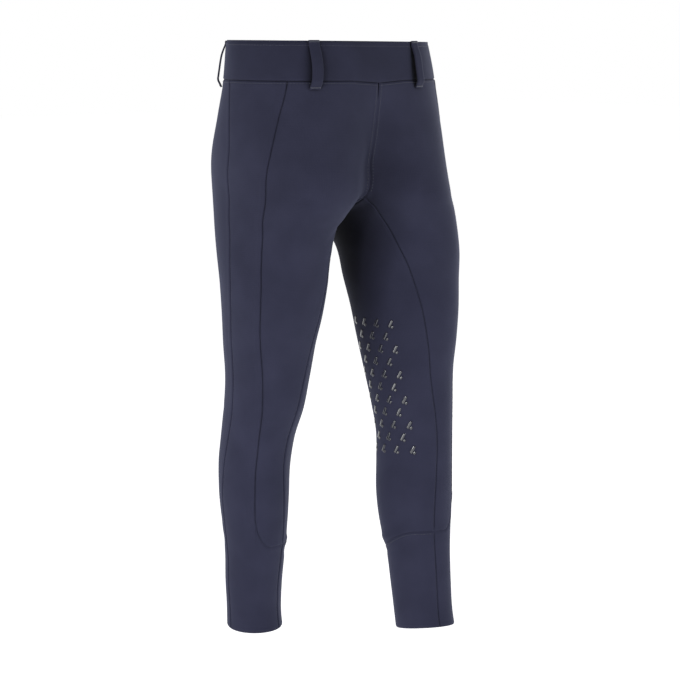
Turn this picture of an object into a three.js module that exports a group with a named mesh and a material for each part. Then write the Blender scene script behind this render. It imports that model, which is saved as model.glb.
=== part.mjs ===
// Riding breeches in a child's size, filled out as on a wearer in mid-stride, left leg forward.
// Millimetres, +Z up. The origin is the middle of the waist at the waistband's top edge. The front
// of the garment faces -Y and its left side is at +X.
import * as THREE from "three";

// Driving dimensions
const CLOTH = 1.6; // wall of a panel, knitted cloth with its seam allowances
const BAND_WALL = 2.4; // waistband, two layers and an interlining
const BAND_PROUD = 0.5; // how far the waistband stands out from the panels below it
const SEAM_GAP = 0.3; // between neighbouring pieces
const BAND_HEIGHT = 38.9; // waistband at the sides
const FRONT_DIP = 2.3; // the waistband's lower edge drops this far at the centre front
const DIP_WIDTH = 26; // over this many degrees from the centre front
const CROTCH_TOP = 158; // where the inner leg panels start, front and back
const CORNER_DROP = 34; // the front panel's rounded lower corner: its height in millimetres
const CORNER_TURN = 28; // and its width in degrees
const CUFF_FALL = 16; // the seam above the inner cuff falls this far towards the back
const LEAN_FROM = 297; // below this the level lines lean with the leg
const WAIST_TILT = 0.015; // the waist's level lines drop by this share of the way to the left
const TILT_ENDS = 80; // down here they are level
const LOOP_WIDTH = 11.5;
const LOOP_WALL = 1.6;
const LOOP_TOP = -0.5; // a belt loop starts this far below the waistband's top, so just above it
const LOOP_END = 46.5; // and is sewn down again here

const COLOURS = { cloth: "#33353f", band: "#31333d", loop: "#2f313b" };

// Angles around a leg are degrees: 0 at its front, 90 outside, 180 behind, 270 inside.
const FRONT = 0;
const BEHIND = 180;
const FULL_TURN = 360;

const { degToRad, radToDeg, lerp, clamp, smoothstep } = THREE.MathUtils;

// A table as a function of the distance down from the waistband's top: a smooth curve through its rows
function smoothTable(columns, rows) {
  const last = rows.length - 1;
  const slope = (i, c) => (rows[i + 1][c] - rows[i][c]) / (rows[i + 1][0] - rows[i][0]);
  const tangent = (i, c) => {
    if (i === 0 || i === last) return slope(Math.min(i, last - 1), c);
    const before = rows[i][0] - rows[i - 1][0];
    const after = rows[i + 1][0] - rows[i][0];
    return (slope(i - 1, c) * after + slope(i, c) * before) / (before + after);
  };
  const tangents = rows.map((row, i) => row.map((_, c) => (c ? tangent(i, c) : 0)));
  return (down) => {
    const x = clamp(down, rows[0][0], rows[last][0]);
    const i = Math.min(rows.findLastIndex((row) => row[0] <= x), last - 1);
    const step = rows[i + 1][0] - rows[i][0];
    const t = (x - rows[i][0]) / step;
    const rest = 1 - t;
    const value = (c) => {
      const start = (1 + 2 * t) * rest ** 2 * rows[i][c] + (3 - 2 * t) * t ** 2 * rows[i + 1][c];
      return start + t * rest * step * (rest * tangents[i][c] - t * tangents[i + 1][c]);
    };
    return Object.fromEntries(columns.slice(1).map((name, c) => [name, value(c + 1)]));
  };
}

// The body inside the cloth: a tube for each leg, in level sections. apart is the tube's distance
// from the middle plane; right_y and left_y are its place from front to back, so the stride; wide
// and deep are the section's half axes; seat deepens its back half; skew turns it towards the inner
// front; blend rounds off the place where both tubes meet.
const body = smoothTable(
  ["down", "apart", "right_y", "left_y", "wide", "deep", "seat", "skew", "blend"],
  [
    [-3, 26, 1, 1, 91.3, 73, -7.5, 0, 24],
    [39, 28, -5, -5, 94, 75, 2, 0, 24],
    [77, 42, -5, -7, 82.5, 77, 8.4, 0, 24],
    [117, 53, -5, -9, 71.5, 82, 13.4, 0, 24],
    [157, 59, -7, -18, 63, 83.5, 12, 0, 40],
    [187, 67, 0.5, -22, 58, 76, 6, -0.1, 14],
    [217, 71, 1.5, -30, 56.5, 68, 0, -0.09, 8],
    [247, 73, -1, -33, 55, 62.5, 0, -0.09, 12],
    [277, 72.5, 2, -39, 51, 59, 0, -0.09, 12],
    [307, 71.5, 8, -43.5, 47, 55, 0, -0.09, 12],
    [342, 70.5, 13, -48, 43, 49, 0, -0.06, 12],
    [377, 70, 20, -54, 40, 45, 0, -0.02, 12],
    [407, 69.5, 30, -58, 37.5, 42, 0, -0.03, 12],
    [437, 68.5, 37.5, -59.5, 37, 41, 0, -0.05, 12],
    [472, 66.5, 41, -62, 36.5, 40.5, 0, -0.07, 12],
    [507, 65, 41.5, -66.5, 34, 37.5, 0, -0.08, 12],
    [537, 63.5, 44, -73, 31, 34, 0, -0.05, 12],
    [567, 63, 47, -77.5, 30, 32, 0, -0.05, 12],
    [597, 62, 48, -83, 29, 31, 0, -0.07, 12],
    [627, 62, 45, -90, 30, 32, 0, -0.05, 12],
  ],
);

// The seams that run down a leg, as angles around it
const seams = smoothTable(
  ["down", "front_seam", "side_seam", "inner_front", "inner_back"],
  [
    [37, 54.5, 98.5, 0, 0],
    [77, 54.3, 97.5, 0, 0],
    [110, 55.4, 98.5, -54, 235],
    [147, 59, 106.5, -51, 230],
    [172, 55.6, 102, -48.9, 224],
    [189, 50.9, 94.5, -43.5, 219],
    [212, 49.7, 90.5, -38.1, 214],
    [237, 50.4, 91, -30.3, 210],
    [262, 51.1, 93.5, -24.4, 208],
    [287, 50.7, 95.5, -19.8, 206],
    [322, 46.6, 94, -14.8, 205],
    [367, 41.5, 93, -10.9, 203],
    [397, 38.2, 93, -7.2, 202],
    [422, 36.2, 95.5, -5.5, 202],
    [447, 36.4, 99, -6.1, 201],
    [477, 37.3, 104.5, -8.2, 200],
    [517, 38, 106, -10, 199],
    [557, 38, 100, -9.5, 198],
    [627, 38, 97, -11, 198],
  ],
);

// Each leg's side of the middle plane, its cuff seam and hem, how far and towards which angle its
// level lines drop at the hem, and how far its inner front seam turns inwards below the knee
const LEGS = {
  right: { name: "right", side: -1, y: "right_y", cuff: 522, hem: 614, lean: 2.6, leanTo: 48, innerTurn: 7 },
  left: { name: "left", side: 1, y: "left_y", cuff: 509.5, hem: 610, lean: 4, leanTo: 170, innerTurn: 0 },
};

// Levels at which neighbouring panels share their points
const UPPER = [59, 81, 103, 124, 142, CROTCH_TOP];
const CROTCH = [168, 178, 189, 202, 217, 234, 253];
const LOWER = [277, 301, 325, 349, 373, 399, 425, 449];
const STEPS = 3; // from the last of them to the end of the front panel, and again to the hem
const COLUMNS = { front: 7, side: 4, back: 6, inner: 8 };

// Negative inside the body, zero on its surface, in about millimetres
function tubeField(at, leg, x, y) {
  const across = x * leg.side - at.apart;
  const along = y - at[leg.y];
  const deep = at.deep + (along > 0 ? at.seat : 0);
  const a = at.wide ** 2;
  const b = deep ** 2;
  const c = at.skew * at.wide * deep;
  const square = (b * across ** 2 - 2 * c * across * along + a * along ** 2) / (a * b - c * c);
  return (Math.sqrt(square) - 1) * Math.sqrt(at.wide * at.deep);
}

function field({ x, y, z }) {
  const at = body(-z);
  const right = tubeField(at, LEGS.right, x, y);
  const left = tubeField(at, LEGS.left, x, y);
  const near = Math.max(1 - Math.abs(right - left) / at.blend, 0);
  return Math.min(right, left) - (near ** 3 * at.blend) / 6;
}

// The way that the surface faces at a point
function normalAt(point) {
  const NUDGE = 0.5;
  const slope = (axis) => {
    const ahead = point.clone();
    const behind = point.clone();
    ahead[axis] += NUDGE;
    behind[axis] -= NUDGE;
    return field(ahead) - field(behind);
  };
  return new THREE.Vector3(slope("x"), slope("y"), slope("z")).normalize();
}

// The first point of the surface from a place inside along a direction
function surfaceFrom(start, direction) {
  const STRIDE = 4;
  const HALVINGS = 22;
  const at = (t) => start.clone().addScaledVector(direction, t);
  let far = STRIDE;
  while (field(at(far)) < 0) far += STRIDE;
  let near = far - STRIDE;
  for (let i = 0; i < HALVINGS; i++) {
    const middle = (near + far) / 2;
    if (field(at(middle)) < 0) near = middle;
    else far = middle;
  }
  return at(near);
}

// A point near the surface, moved onto it
function ontoSurface(point) {
  const ROUNDS = 8;
  const moved = point.clone();
  for (let i = 0; i < ROUNDS; i++) {
    moved.addScaledVector(normalAt(moved), -field(moved));
  }
  return moved;
}

// A level line's real height: below the knee it leans with the leg
function downAt(leg, degrees, level) {
  const share = smoothstep(level, LEAN_FROM, leg.hem);
  return level + leg.lean * share * Math.cos(degToRad(degrees - leg.leanTo));
}

// The point of the surface at an angle around a leg and a distance down
function pointAt(leg, degrees, down) {
  const at = body(down);
  const start = new THREE.Vector3(leg.side * at.apart, at[leg.y], -down);
  const turn = degToRad(degrees);
  return surfaceFrom(start, new THREE.Vector3(leg.side * Math.sin(turn), -Math.cos(turn), 0));
}

// The same on a level line, which at the waist drops towards the left
function legPoint(leg, degrees, level) {
  const down = downAt(leg, degrees, level);
  const point = pointAt(leg, degrees, down);
  const tilt = WAIST_TILT * (1 - smoothstep(level, 0, TILT_ENDS));
  return tilt ? pointAt(leg, degrees, down + tilt * point.x) : point;
}

// The point of the middle plane at the front or the back
function middlePoint(degrees, down) {
  return surfaceFrom(new THREE.Vector3(0, 0, -down), new THREE.Vector3(0, degrees === FRONT ? -1 : 1, 0));
}

// Its angle, seen from a leg's axis
function middleAngle(leg, degrees, down) {
  const at = body(down);
  const y = middlePoint(degrees, down).y - at[leg.y];
  return radToDeg(Math.atan2(-at.apart, -y)) + (degrees === FRONT ? 0 : FULL_TURN);
}

// The angle of a seam at a level. Above the crotch the inner seams are the centre front and back.
// The inner panels run on round the inside to the inner front seam, a full turn on.
function seamAngle(leg, name, level) {
  if (name === "inner_front_again") return seamAngle(leg, "inner_front", level) + FULL_TURN;
  if (level <= CROTCH_TOP && name === "inner_front") return middleAngle(leg, FRONT, level);
  if (level <= CROTCH_TOP && name === "inner_back") return middleAngle(leg, BEHIND, level);
  const turn = name === "inner_front" ? leg.innerTurn * smoothstep(level, LEAN_FROM, leg.cuff) : 0;
  return seams(level)[name] - turn;
}

// The seam above the inner cuff: level in front, then falling towards the back
function cuffLevel(leg, degrees) {
  const INNER_FRONT = 45;
  const INNER_BACK = 140;
  const inward = degrees > BEHIND ? FULL_TURN - degrees : -degrees;
  return leg.cuff + CUFF_FALL * smoothstep(inward, INNER_FRONT, INNER_BACK);
}

// The front panel's lower edge: level, then rounded up to the front seam
function frontEnd(leg, degrees) {
  const corner = seams(leg.cuff - CORNER_DROP).front_seam;
  const into = clamp(1 - (corner - degrees) / CORNER_TURN, 0, 1);
  return leg.cuff - CORNER_DROP * (1 - Math.sqrt(1 - into * into));
}

// Where each seam's lowest levels start
const seamEnd = {
  inner_front: (leg) => leg.cuff,
  front_seam: (leg) => leg.cuff - CORNER_DROP,
  side_seam: (leg) => leg.cuff - CORNER_DROP / 2,
  inner_back: (leg) => cuffLevel(leg, seams(leg.cuff).inner_back),
  inner_front_again: (leg) => leg.cuff,
};

// All levels of a seam, from the waistband or the crotch down to the hem
function seamLevels(leg, name, top = BAND_HEIGHT) {
  const shared = [BAND_HEIGHT, ...UPPER, ...CROTCH, ...LOWER].filter((level) => level >= top);
  const end = seamEnd[name](leg);
  const steps = (from, to) => Array.from({ length: STEPS }, (_, i) => lerp(from, to, (i + 1) / STEPS));
  return [...shared, ...steps(shared.at(-1), end), ...steps(end, leg.hem)];
}

// Rows of [angle, level] between two seams, each row from the first seam to the second. They end at
// the hem, or at a given lower edge.
function rowsBetween(leg, first, second, columns, { top, lowerEdge } = {}) {
  const firstLevels = seamLevels(leg, first, top);
  const secondLevels = seamLevels(leg, second, top);
  const edgeRow = firstLevels.length - 1 - STEPS;
  const shared = edgeRow - STEPS;
  const rows = firstLevels.map((level, j) =>
    Array.from({ length: columns + 1 }, (_, i) => {
      const share = i / columns;
      const angles = [seamAngle(leg, first, level), seamAngle(leg, second, secondLevels[j])];
      return [lerp(...angles, share), lerp(level, secondLevels[j], share)];
    }),
  );
  if (!lowerEdge) return rows;
  for (let j = shared + 1; j <= edgeRow; j++) {
    rows[j] = rows[j].map(([degrees], i) => {
      const from = rows[shared][i][1];
      const to = lowerEdge(leg, rows[edgeRow][i][0]);
      return [degrees, lerp(from, to, (j - shared) / STEPS)];
    });
  }
  return rows.slice(0, edgeRow + 1);
}

// Rows from an upper edge down to the hem
function rowsToHem(leg, edge, first, second) {
  const columns = edge.length - 1;
  const rows = [edge];
  for (let j = 1; j <= STEPS; j++) {
    const levels = edge.map(([, level]) => lerp(level, leg.hem, j / STEPS));
    const angles = [seamAngle(leg, first, levels[0]), seamAngle(leg, second, levels.at(-1))];
    rows.push(levels.map((level, i) => [lerp(...angles, i / columns), level]));
  }
  return rows;
}

// The waistband's lower edge: level, with a shallow V at the centre front
function bandEdge(leg, degrees) {
  const away = Math.abs(degrees - middleAngle(leg, FRONT, BAND_HEIGHT));
  return BAND_HEIGHT + FRONT_DIP * Math.max(0, 1 - away / DIP_WIDTH);
}

// Rows of a panel whose first row follows the waistband
function rowsUnderBand(leg, first, second, columns, options) {
  const rows = rowsBetween(leg, first, second, columns, options);
  rows[0] = rows[0].map(([degrees], i) => {
    const level = bandEdge(leg, degrees);
    return [lerp(seamAngle(leg, first, level), seamAngle(leg, second, level), i / columns), level];
  });
  return rows;
}

const pointsOf = (leg, rows) => rows.map((row) => row.map((place) => legPoint(leg, ...place)));

// Between four edges of points, a net that takes up their shapes, laid onto the surface
function netBetween(top, bottom, firstSide, secondSide) {
  const columns = top.length - 1;
  const count = firstSide.length - 1;
  return firstSide.map((start, j) =>
    top.map((_, i) => {
      if (j === 0) return top[i];
      if (j === count) return bottom[i];
      if (i === 0) return start;
      if (i === columns) return secondSide[j];
      const u = i / columns;
      const v = j / count;
      const acrossSides = start.clone().lerp(secondSide[j], u);
      const downEdges = top[i].clone().lerp(bottom[i], v);
      const upper = top[0].clone().lerp(top[columns], u);
      const lower = bottom[0].clone().lerp(bottom[columns], u);
      return ontoSurface(acrossSides.add(downEdges).sub(upper.lerp(lower, v)));
    }),
  );
}

// The seam under the crotch, in the middle plane from the back to the front
function crotchSeam() {
  const front = middlePoint(FRONT, CROTCH_TOP);
  const back = middlePoint(BEHIND, CROTCH_TOP);
  const middle = front.clone().lerp(back, 0.5);
  const points = [back];
  for (let i = 1; i < COLUMNS.inner; i++) {
    const turn = (Math.PI * i) / COLUMNS.inner;
    points.push(surfaceFrom(middle, new THREE.Vector3(0, Math.cos(turn), -Math.sin(turn))));
  }
  return [...points, front];
}

// A sheet of points and triangles that becomes one piece of cloth
class Sheet {
  points = [];
  triangles = [];
  places = new Map();

  constructor(leg) {
    this.mirrored = leg.side < 0;
  }

  index(point) {
    const key = point.toArray().map((value) => value.toFixed(3)).join();
    if (!this.places.has(key)) {
      this.places.set(key, this.points.length);
      this.points.push(point);
    }
    return this.places.get(key);
  }

  addRows(rows) {
    const indices = rows.map((row) => row.map((point) => this.index(point)));
    for (let j = 1; j < rows.length; j++) {
      for (let i = 1; i < rows[j].length; i++) {
        const [a, b] = [indices[j - 1][i - 1], indices[j - 1][i]];
        const [c, d] = [indices[j][i - 1], indices[j][i]];
        this.addTriangle(a, c, b);
        this.addTriangle(b, c, d);
      }
    }
    return this;
  }

  addTriangle(a, b, c) {
    if (new Set([a, b, c]).size === 3) this.triangles.push(this.mirrored ? [a, c, b] : [a, b, c]);
  }

  // The edges that only one triangle has, in its direction
  rim() {
    const edges = new Map();
    for (const [a, b, c] of this.triangles) {
      for (const [from, to] of [[a, b], [b, c], [c, a]]) {
        if (!edges.delete(`${to} ${from}`)) edges.set(`${from} ${to}`, [from, to]);
      }
    }
    return [...edges.values()];
  }
}

// The sheet's points, those on the rim pulled in along the cloth by half the gap between pieces
function pulledIn(sheet, normals, rim) {
  const SHARPEST = 0.7; // keeps the points of sharp corners near their place
  const steps = new Map();
  for (const [from, to] of rim) {
    const edge = sheet.points[to].clone().sub(sheet.points[from]).normalize();
    for (const end of [from, to]) {
      steps.set(end, [...(steps.get(end) ?? []), normals[end].clone().cross(edge).normalize()]);
    }
  }
  return sheet.points.map((point, i) => {
    if (!steps.has(i)) return point.clone();
    const sum = steps.get(i).reduce((total, step) => total.clone().add(step));
    const scale = Math.max(sum.lengthSq() / 2, SHARPEST);
    return point.clone().addScaledVector(sum, SEAM_GAP / 2 / scale);
  });
}

function solid(vertices, faces) {
  const geometry = new THREE.BufferGeometry();
  const position = vertices.flatMap((vertex) => vertex.toArray());
  geometry.setAttribute("position", new THREE.Float32BufferAttribute(position, 3));
  geometry.setIndex(faces.flat());
  geometry.computeVertexNormals();
  return geometry;
}

// A closed wall on a sheet: its outer face stands out by proud
function cloth(sheet, wall, proud = 0) {
  const normals = sheet.points.map(normalAt);
  const rim = sheet.rim();
  const base = pulledIn(sheet, normals, rim);
  const layer = (offset) => base.map((point, i) => point.clone().addScaledVector(normals[i], offset));
  const count = base.length;
  const inner = sheet.triangles.map(([a, b, c]) => [c + count, b + count, a + count]);
  const edges = rim.flatMap(([from, to]) => [
    [to, from, from + count],
    [to, from + count, to + count],
  ]);
  return solid([...layer(proud), ...layer(proud - wall)], [...sheet.triangles, ...inner, ...edges]);
}

const panelMaker = {
  front(leg) {
    const options = { lowerEdge: frontEnd };
    const rows = rowsUnderBand(leg, "inner_front", "front_seam", COLUMNS.front, options);
    return new Sheet(leg).addRows(pointsOf(leg, rows));
  },
  // Below the front panel it widens into the front of the cuff.
  side(leg) {
    const options = { lowerEdge: frontEnd };
    const frontEdge = rowsBetween(leg, "inner_front", "front_seam", COLUMNS.front, options).at(-1);
    return new Sheet(leg)
      .addRows(pointsOf(leg, rowsUnderBand(leg, "front_seam", "side_seam", COLUMNS.side)))
      .addRows(pointsOf(leg, rowsToHem(leg, frontEdge, "inner_front", "front_seam")));
  },
  back(leg) {
    const rows = rowsUnderBand(leg, "side_seam", "inner_back", COLUMNS.back);
    return new Sheet(leg).addRows(pointsOf(leg, rows));
  },
  inner(leg) {
    const lower = pointsOf(leg, innerRows(leg).slice(CROTCH.length));
    const seam = crotchSeam();
    const side = (name, start) => [
      start,
      ...CROTCH.map((level) => legPoint(leg, seamAngle(leg, name, level), level)),
    ];
    const back = side("inner_back", seam[0]);
    const front = side("inner_front", seam.at(-1));
    return new Sheet(leg).addRows(netBetween(seam, lower[0], back, front)).addRows(lower);
  },
  inner_cuff(leg) {
    const rows = rowsToHem(leg, innerRows(leg).at(-1), "inner_back", "inner_front_again");
    return new Sheet(leg).addRows(pointsOf(leg, rows));
  },
};

function innerRows(leg) {
  const options = { top: CROTCH_TOP, lowerEdge: cuffLevel };
  return rowsBetween(leg, "inner_back", "inner_front_again", COLUMNS.inner, options);
}

function panels(leg) {
  const group = new THREE.Group();
  for (const [name, make] of Object.entries(panelMaker)) {
    group.add(piece(`${leg.name}_${name}_panel`, cloth(make(leg), CLOTH), COLOURS.cloth));
  }
  return group;
}

// The waistband's columns are those of the panels under it, so both share the points of its seam.
function bandColumns(leg) {
  const under = [
    rowsUnderBand(leg, "inner_front", "front_seam", COLUMNS.front)[0],
    rowsUnderBand(leg, "front_seam", "side_seam", COLUMNS.side)[0],
    rowsUnderBand(leg, "side_seam", "inner_back", COLUMNS.back)[0],
  ];
  return under.flatMap((row, i) => (i ? row.slice(1) : row));
}

// From the centre front round to the centre back, a row of the waistband at a share of its height
function bandHalfRow(leg, share) {
  const columns = bandColumns(leg);
  return columns.map(([degrees, edge], i) => {
    const level = edge * share;
    if (i === 0) return middlePoint(FRONT, level);
    if (i === columns.length - 1) return middlePoint(BEHIND, level);
    const front = middleAngle(leg, FRONT, edge);
    const around = (degrees - front) / (middleAngle(leg, BEHIND, edge) - front);
    const angles = [middleAngle(leg, FRONT, level), middleAngle(leg, BEHIND, level)];
    return legPoint(leg, lerp(...angles, around), level);
  });
}

function waistband() {
  const ROWS = 3;
  const sheet = new Sheet(LEGS.left);
  const rows = Array.from({ length: ROWS + 1 }, (_, j) => {
    const left = bandHalfRow(LEGS.left, j / ROWS);
    const right = bandHalfRow(LEGS.right, j / ROWS).reverse();
    return [...left, ...right.slice(1)];
  });
  sheet.addRows(rows);
  return piece("waistband", cloth(sheet, BAND_WALL, BAND_PROUD), COLOURS.band);
}

// A belt loop's inner face over its length: how far down it is, and how far off the cloth
const LOOP_CURVE = [
  [LOOP_TOP, 0.9],
  [5, 1.4],
  [10, 2.9],
  [15, 4.2],
  [21, 4.9],
  [29, 5.2],
  [36, 5.3],
  [40.5, 4.9],
  [43.5, 2.8],
  [LOOP_END, 0.6],
];

// Where the belt loops stand: angles around a leg at the waist, at a loop's top and its lower end,
// and the centre back
const LOOPS = [
  { name: "loop_front_right", leg: LEGS.right, degrees: [35, 35] },
  { name: "loop_front_left", leg: LEGS.left, degrees: [24, 19] },
  { name: "loop_side_right", leg: LEGS.right, degrees: [122, 122] },
  { name: "loop_side_left", leg: LEGS.left, degrees: [122, 122] },
  { name: "loop_back", leg: LEGS.left, degrees: null },
];

function beltLoop({ name, leg, degrees }) {
  const turned = (down) => lerp(...degrees, down / LOOP_END);
  const foot = (down) => (degrees ? legPoint(leg, turned(down), down) : middlePoint(BEHIND, down));
  const facing = normalAt(foot(LOOP_END)).setZ(0).normalize();
  const across = new THREE.Vector3(-facing.y, facing.x, 0).multiplyScalar(LOOP_WIDTH / 2);
  const line = LOOP_CURVE.map(([down, off]) => {
    const base = foot(down);
    return base.addScaledVector(normalAt(base), off);
  });
  const vertices = [];
  line.forEach((point, i) => {
    const ahead = line[Math.min(i + 1, line.length - 1)];
    const behind = line[Math.max(i - 1, 0)];
    const along = ahead.clone().sub(behind).normalize();
    const outward = along.cross(across).normalize().multiplyScalar(LOOP_WALL);
    const outer = point.clone().add(outward);
    vertices.push(point.clone().sub(across), point.clone().add(across));
    vertices.push(outer.clone().add(across), outer.clone().sub(across));
  });
  const CORNERS = 4;
  const faces = [[0, 2, 1], [0, 3, 2]];
  const end = vertices.length - CORNERS;
  for (let ring = 0; ring < end; ring += CORNERS) {
    for (let k = 0; k < CORNERS; k++) {
      const [a, b] = [ring + k, ring + ((k + 1) % CORNERS)];
      faces.push([a, b, a + CORNERS], [b, b + CORNERS, a + CORNERS]);
    }
  }
  faces.push([end, end + 1, end + 2], [end, end + 2, end + 3]);
  return piece(name, solid(vertices, faces), COLOURS.loop);
}

function piece(name, geometry, color) {
  const material = new THREE.MeshStandardMaterial({ color, roughness: 0.85, metalness: 0 });
  const mesh = new THREE.Mesh(geometry, material);
  mesh.name = name;
  return mesh;
}

const breeches = new THREE.Group();
breeches.add(panels(LEGS.right), panels(LEGS.left), waistband(), ...LOOPS.map(beltLoop));

export default breeches;
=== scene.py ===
"""Riding breeches in a child's size: their cloth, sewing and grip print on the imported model's frame.

Lengths are in millimetres and turn to metres where a mesh is made. The origin is the middle of the
waist at the waistband's top edge. The garment's front faces -Y and its left side is at +X.
Angles around a leg are in degrees: 0 at its front, 90 outside, 180 behind, 270 inside.
"""

import math
from dataclasses import dataclass

import bpy
import numpy as np
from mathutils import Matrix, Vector, kdtree


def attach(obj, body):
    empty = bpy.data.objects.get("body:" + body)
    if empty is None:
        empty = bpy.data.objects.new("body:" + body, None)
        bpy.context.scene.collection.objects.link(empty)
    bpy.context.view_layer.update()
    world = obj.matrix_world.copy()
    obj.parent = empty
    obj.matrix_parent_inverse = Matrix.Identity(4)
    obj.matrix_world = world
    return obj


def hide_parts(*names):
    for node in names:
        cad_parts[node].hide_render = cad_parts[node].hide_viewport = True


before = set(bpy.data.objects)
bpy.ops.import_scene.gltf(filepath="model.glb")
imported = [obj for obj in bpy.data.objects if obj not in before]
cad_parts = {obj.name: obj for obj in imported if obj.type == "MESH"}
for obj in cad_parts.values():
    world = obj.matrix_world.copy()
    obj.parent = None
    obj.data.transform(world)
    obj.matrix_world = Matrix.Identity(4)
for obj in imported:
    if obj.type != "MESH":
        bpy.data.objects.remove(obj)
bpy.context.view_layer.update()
METRE = 0.001

# The cut, as in the solids
BAND_WALL = 2.4
BAND_PROUD = 0.5
BAND_HEIGHT = 38.9
FRONT_DIP = 2.3
DIP_WIDTH = 26
CROTCH_TOP = 158
CORNER_DROP = 34
CORNER_TURN = 28
CUFF_FALL = 16
LEAN_FROM = 297
WAIST_TILT = 0.015  # the waist's level lines drop by this share of the way to the left
TILT_ENDS = 80
STRAIGHT_TO = 449  # down to here the levels are the same on every seam
DIP_ENDS = 59  # the waistband's dip has faded from the levels here
CROTCH_NEXT = 168  # where the inner seams have reached their own lines
GRIP_FROM = 253  # below this the inner panel's levels run straight from seam to seam
LOOP_WIDTH = 11.5
LOOP_WALL = 1.6
LOOP_TOP = -0.5
LOOP_END = 46.5

# The cloth's finer form
CLOTH = 1.3
STEP = 2.3  # between the points of a panel
EDGE_STEPS = [0.0, 0.25, 0.6, 1.1, 1.8, 2.7, 3.9, 5.2, 6.6]  # and close to its edges
SEAM_ROLL = 0.8  # how deep a panel's edge rolls into the seam
SEAM_ROLL_WIDTH = 1.5
SHALLOW = {"centre_front": 0.2, "centre_back": 0.5, "cuff": 0.55, "front_end": 0.6}  # share of it
ALLOWANCE = 6.0  # width of the seam allowance that shows through the cloth
TWIN_NEEDLE = 6.0  # between the two rows of stitches at the centre front
TOP_STITCH = 4.6  # the waistband's edge stitching below its top
BESIDE_SEAM = 2.4  # from the cuff's seam to its row of stitches
BELOW_BAND = 2.6  # and from the waistband to the row below it
STITCH = 2.3
STITCH_GAP = 0.9
THREAD_THICKNESS = 0.42
BARTACK = 1.6  # how far a bartack reaches along a belt loop
BARTACK_STEP = 0.42
BARTACK_THREAD = 0.45
BARTACK_EDGE = 0.7  # what it leaves free at a loop's edges
SLACK = 0.22  # height of the cloth's slow unevenness, and of its finer part
FINE_SLACK = 0.12
PUCKER = 0.16  # height of the waves beside a panel's seams, the waistband's seam and its top
BAND_PUCKER = 0.2
TOP_PUCKER = 0.1

FRONT, BEHIND, FULL_TURN = 0, 180, 360


def smooth_table(columns, rows):
    """A table as a function of its first column: a smooth curve through its rows."""
    table = np.array(rows, float)
    places = table[:, 0]
    step = np.diff(places)
    slope = np.diff(table, axis=0) / step[:, None]
    weighed = slope[:-1] * step[1:, None] + slope[1:] * step[:-1, None]
    tangent = np.vstack([slope[:1], weighed / (step[:-1] + step[1:])[:, None], slope[-1:]])

    def values(place):
        place = np.clip(np.asarray(place, float), places[0], places[-1])
        i = np.clip(np.searchsorted(places, place, side="right") - 1, 0, len(step) - 1)
        t = ((place - places[i]) / step[i])[..., None]
        rest = 1 - t
        ends = (1 + 2 * t) * rest**2 * table[i] + (3 - 2 * t) * t**2 * table[i + 1]
        bend = t * rest * step[i][..., None] * (rest * tangent[i] - t * tangent[i + 1])
        return dict(zip(columns, np.moveaxis(ends + bend, -1, 0)))

    return values


# A tube for each leg, in level sections: its distance from the middle plane, its place from front
# to back, its half axes, what the seat adds behind, its turn and the width of its blend with the other
body = smooth_table(
    ["down", "apart", "right_y", "left_y", "wide", "deep", "seat", "skew", "blend"],
    [
        [-3, 26, 1, 1, 91.3, 73, -7.5, 0, 24],
        [39, 28, -5, -5, 94, 75, 2, 0, 24],
        [77, 42, -5, -7, 82.5, 77, 8.4, 0, 24],
        [117, 53, -5, -9, 71.5, 82, 13.4, 0, 24],
        [157, 59, -7, -18, 63, 83.5, 12, 0, 40],
        [187, 67, 0.5, -22, 58, 76, 6, -0.1, 14],
        [217, 71, 1.5, -30, 56.5, 68, 0, -0.09, 8],
        [247, 73, -1, -33, 55, 62.5, 0, -0.09, 12],
        [277, 72.5, 2, -39, 51, 59, 0, -0.09, 12],
        [307, 71.5, 8, -43.5, 47, 55, 0, -0.09, 12],
        [342, 70.5, 13, -48, 43, 49, 0, -0.06, 12],
        [377, 70, 20, -54, 40, 45, 0, -0.02, 12],
        [407, 69.5, 30, -58, 37.5, 42, 0, -0.03, 12],
        [437, 68.5, 37.5, -59.5, 37, 41, 0, -0.05, 12],
        [472, 66.5, 41, -62, 36.5, 40.5, 0, -0.07, 12],
        [507, 65, 41.5, -66.5, 34, 37.5, 0, -0.08, 12],
        [537, 63.5, 44, -73, 31, 34, 0, -0.05, 12],
        [567, 63, 47, -77.5, 30, 32, 0, -0.05, 12],
        [597, 62, 48, -83, 29, 31, 0, -0.07, 12],
        [627, 62, 45, -90, 30, 32, 0, -0.05, 12],
    ],
)

# The seams that run down a leg, as angles around it
seams = smooth_table(
    ["down", "front_seam", "side_seam", "inner_front", "inner_back"],
    [
        [37, 54.5, 98.5, 0, 0],
        [77, 54.3, 97.5, 0, 0],
        [110, 55.4, 98.5, -54, 235],
        [147, 59, 106.5, -51, 230],
        [172, 55.6, 102, -48.9, 224],
        [189, 50.9, 94.5, -43.5, 219],
        [212, 49.7, 90.5, -38.1, 214],
        [237, 50.4, 91, -30.3, 210],
        [262, 51.1, 93.5, -24.4, 208],
        [287, 50.7, 95.5, -19.8, 206],
        [322, 46.6, 94, -14.8, 205],
        [367, 41.5, 93, -10.9, 203],
        [397, 38.2, 93, -7.2, 202],
        [422, 36.2, 95.5, -5.5, 202],
        [447, 36.4, 99, -6.1, 201],
        [477, 37.3, 104.5, -8.2, 200],
        [517, 38, 106, -10, 199],
        [557, 38, 100, -9.5, 198],
        [627, 38, 97, -11, 198],
    ],
)

# A belt loop's inner face over its length: how far it stands off the cloth
loop_curve = smooth_table(
    ["down", "off"],
    [
        [LOOP_TOP, 0.9],
        [5, 1.4],
        [10, 2.9],
        [15, 4.2],
        [21, 4.9],
        [29, 5.2],
        [36, 5.3],
        [40.5, 4.9],
        [43.5, 2.8],
        [LOOP_END, 0.6],
    ],
)


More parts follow.
